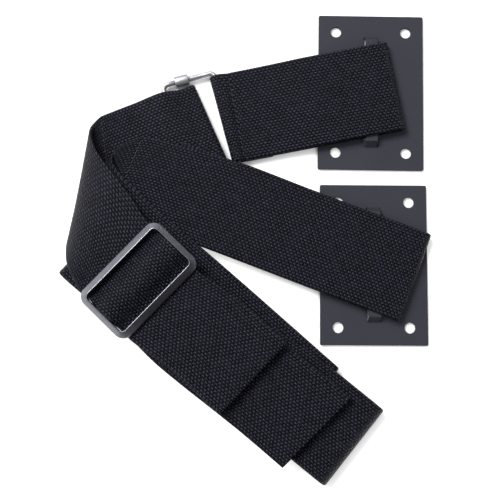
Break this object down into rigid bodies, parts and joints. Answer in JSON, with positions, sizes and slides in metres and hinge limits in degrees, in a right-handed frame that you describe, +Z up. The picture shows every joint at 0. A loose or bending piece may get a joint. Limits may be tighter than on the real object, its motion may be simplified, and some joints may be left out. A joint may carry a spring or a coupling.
{
  "type": "furniture anti tip strap",
  "caption": "Furniture anti tip strap: flat webbing with a slide adjuster and a wire link, joined to two steel wall plates with screw holes, lying folded up.",
  "frame": {"origin": "under the middle of the folded strap's box, on the surface that it lies on", "axes": "+Z up from the surface, +Y along the plates' long sides towards the upper plate, +X towards the plates"},
  "size_m": [0.2076, 0.264, 0.0266],
  "materials": {
    "webbing": "black woven polypropylene webbing with a coarse close weave",
    "thread": "black sewing thread",
    "plate": "matt dark grey powder coat",
    "adjuster": "semi gloss black coat",
    "chrome": "bright plated wire"
  },
  "bodies": {
    "straps": {"strap_adjust": "webbing", "seam_adjust": "thread", "strap_long": "webbing", "seam_long_adjuster": "thread", "seam_long_plate": "thread", "slide_adjuster": "adjuster", "plate_lower": "plate"},
    "link": {"link_body": "chrome"},
    "link_nut": {"link_nut": "chrome"},
    "short_strap": {"strap_short": "webbing", "seam_short": "thread", "plate_upper": "plate"}
  },
  "joints": [
    {"name": "link_swing", "type": "hinge", "parent": "straps", "child": "link", "pos_m": [-0.03941, 0.06138, 0.0034], "axis": [0.2588, -0.9659, 0], "range_deg": [-80, 0]},
    {"name": "nut_slide", "type": "slide", "parent": "link", "child": "link_nut", "axis": [0.9659, 0.2588, 0], "range_m": [0, 0.008]},
    {"name": "short_strap_swing", "type": "hinge", "parent": "link", "child": "short_strap", "pos_m": [-0.01014, 0.06922, 0.0034], "axis": [0.2588, -0.9659, 0], "range_deg": [-90, 25]}
  ]
}
